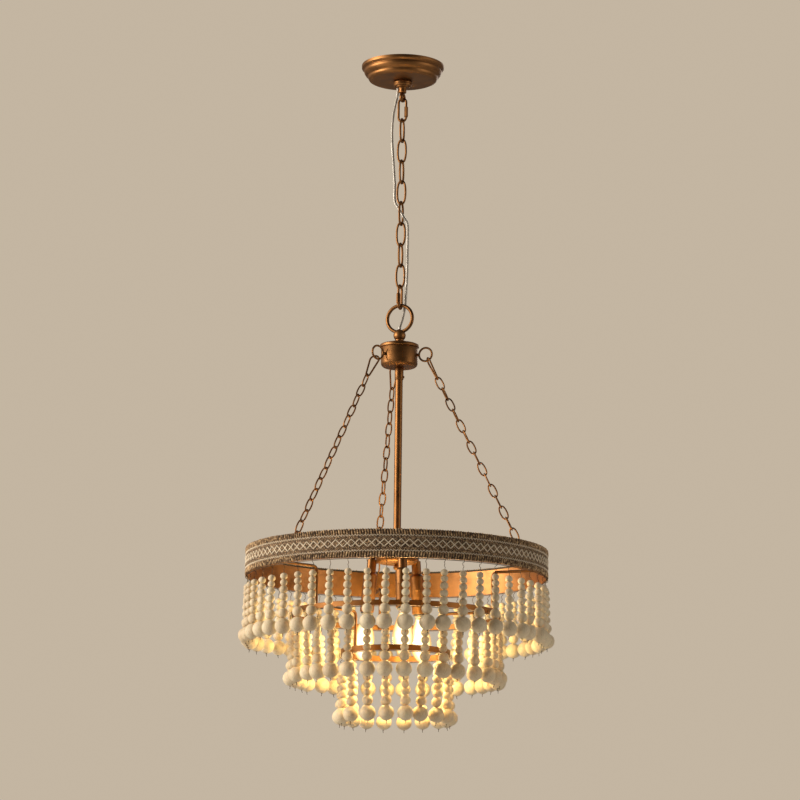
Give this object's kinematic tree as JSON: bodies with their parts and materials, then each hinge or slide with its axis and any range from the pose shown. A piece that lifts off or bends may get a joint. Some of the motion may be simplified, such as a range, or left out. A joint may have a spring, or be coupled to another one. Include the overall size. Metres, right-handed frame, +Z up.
{
  "type": "beaded chandelier",
  "caption": "Ceiling chandelier on a chain: stepped canopy, turned hub, three side chains, lamp cluster and three stepped rings hung with strands of wooden beads.",
  "frame": {"origin": "middle of the mounting strap's top face, on the ceiling plane", "axes": "+Z up along the chain and centre rod, +X to the right and -Y towards the viewer of the picture"},
  "size_m": [0.5146, 0.5144, 1.1236],
  "materials": {
    "aged_brass": "aged copper brown, satin",
    "plated_steel": "dull plated steel",
    "black_holder": "matte black",
    "lamp_glass": "clear warm glass",
    "yarn_trim": "woven grey-brown yarn with cream lines",
    "wooden_beads": "pale limed wood, matte",
    "clear_cord": "clear silver-grey twin cord"
  },
  "bodies": {
    "ceiling_root": {"mounting_strap": "plated_steel", "threaded_nipple": "plated_steel", "canopy_loop": "aged_brass"},
    "canopy_cover": {"canopy": "aged_brass", "canopy_collar": "aged_brass"},
    "upper_link": {"upper_quick_link": "aged_brass"},
    "upper_sleeve": {"upper_link_sleeve": "aged_brass"},
    "chain": {"chain_link_1": "aged_brass", "chain_link_2": "aged_brass", "chain_link_3": "aged_brass", "chain_link_4": "aged_brass", "chain_link_5": "aged_brass", "chain_link_6": "aged_brass", "chain_link_7": "aged_brass", "chain_link_8": "aged_brass", "supply_cord": "clear_cord"},
    "lower_link": {"lower_quick_link": "aged_brass"},
    "lower_sleeve": {"lower_link_sleeve": "aged_brass"},
    "ring": {"hanging_ring": "aged_brass"},
    "hub": {"ring_boss": "aged_brass", "hub_cap": "aged_brass", "hub_body": "aged_brass", "rod_coupler": "aged_brass", "centre_rod": "aged_brass", "cluster_body": "aged_brass", "hub_eye_1": "aged_brass", "hub_eye_2": "aged_brass", "hub_eye_3": "aged_brass", "socket_arm_1": "aged_brass", "socket_arm_2": "aged_brass", "socket_arm_3": "aged_brass", "socket_cup_1": "aged_brass", "socket_cup_2": "aged_brass", "socket_cup_3": "aged_brass", "lamp_holder_1": "black_holder", "lamp_holder_2": "black_holder", "lamp_holder_3": "black_holder"},
    "ring_frame": {"top_ring": "aged_brass", "woven_trim": "yarn_trim", "middle_ring": "aged_brass", "bottom_ring": "aged_brass", "strands_top_back": "wooden_beads", "strands_top_front": "wooden_beads", "strands_middle": "wooden_beads", "strands_bottom": "wooden_beads", "upper_bracket_1": "aged_brass", "upper_bracket_2": "aged_brass", "upper_bracket_3": "aged_brass", "lower_bracket_1": "aged_brass", "lower_bracket_2": "aged_brass", "lower_bracket_3": "aged_brass"},
    "side_chain_1": {"pear_link_1": "aged_brass", "side_chain_1": "aged_brass"},
    "bulb_1": {"bulb_1": "lamp_glass"},
    "side_chain_2": {"pear_link_2": "aged_brass", "side_chain_2": "aged_brass"},
    "bulb_2": {"bulb_2": "lamp_glass"},
    "side_chain_3": {"pear_link_3": "aged_brass", "side_chain_3": "aged_brass"},
    "bulb_3": {"bulb_3": "lamp_glass"}
  },
  "joints": [
    {"name": "canopy_drop", "type": "slide", "parent": "ceiling_root", "child": "canopy_cover", "axis": [0, 0, 1], "range_m": [-0.015, 0]},
    {"name": "upper_link_swing", "type": "hinge", "parent": "ceiling_root", "child": "upper_link", "pos_m": [0, 0, -0.062], "axis": [0.4067, 0.9135, 0], "range_deg": [-8, 8], "deforming": ["supply_cord"]},
    {"name": "upper_sleeve_travel", "type": "slide", "parent": "upper_link", "child": "upper_sleeve", "axis": [0, 0, 1], "range_m": [0, 0.007]},
    {"name": "chain_swing", "type": "hinge", "parent": "upper_link", "child": "chain", "pos_m": [0, 0, -0.0977], "axis": [0.9135, -0.4067, 0], "range_deg": [-8, 8], "deforming": ["supply_cord"]},
    {"name": "lower_link_swing", "type": "hinge", "parent": "chain", "child": "lower_link", "pos_m": [0, 0, -0.3879], "axis": [0.9135, -0.4067, 0], "range_deg": [-8, 8], "deforming": ["supply_cord"]},
    {"name": "lower_sleeve_travel", "type": "slide", "parent": "lower_link", "child": "lower_sleeve", "axis": [0, 0, 1], "range_m": [0, 0.007]},
    {"name": "ring_swing", "type": "hinge", "parent": "lower_link", "child": "ring", "pos_m": [0, 0, -0.4238], "axis": [0.4067, 0.9135, 0], "range_deg": [-8, 8], "deforming": ["supply_cord"]},
    {"name": "hub_swing", "type": "hinge", "parent": "ring", "child": "hub", "pos_m": [0, 0, -0.464], "axis": [0.9135, -0.4067, 0], "range_deg": [-8, 8], "deforming": ["supply_cord"]},
    {"name": "frame_twist", "type": "hinge", "parent": "hub", "child": "ring_frame", "pos_m": [0, 0, -0.8601], "axis": [0, 0, 1], "range_deg": [-4, 4]},
    {"name": "side_chain_swing_1", "type": "hinge", "parent": "hub", "child": "side_chain_1", "pos_m": [-0.00852, 0.05092, -0.51537], "axis": [-0.1471, 0.8791, 0.4534], "range_deg": [-3, 3]},
    {"name": "side_chain_swing_2", "type": "hinge", "parent": "hub", "child": "side_chain_2", "pos_m": [-0.03983, -0.03284, -0.51537], "axis": [-0.6877, -0.5669, 0.4534], "range_deg": [-3, 3]},
    {"name": "side_chain_swing_3", "type": "hinge", "parent": "hub", "child": "side_chain_3", "pos_m": [0.04836, -0.01808, -0.51537], "axis": [0.8348, -0.3121, 0.4534], "range_deg": [-3, 3]},
    {"name": "bulb_out_1", "type": "slide", "parent": "hub", "child": "bulb_1", "axis": [0.0712, 0.0641, -0.9954], "range_m": [0, 0.03]},
    {"name": "bulb_out_2", "type": "slide", "parent": "hub", "child": "bulb_2", "axis": [-0.0912, 0.0296, -0.9954], "range_m": [0, 0.03]},
    {"name": "bulb_out_3", "type": "slide", "parent": "hub", "child": "bulb_3", "axis": [0.0199, -0.0938, -0.9954], "range_m": [0, 0.03]}
  ],
  "couplings": [
    {"joint": "side_chain_swing_1", "follows": "frame_twist", "ratio": 0.5869},
    {"joint": "side_chain_swing_2", "follows": "frame_twist", "ratio": 0.5869},
    {"joint": "side_chain_swing_3", "follows": "frame_twist", "ratio": 0.5869}
  ]
}
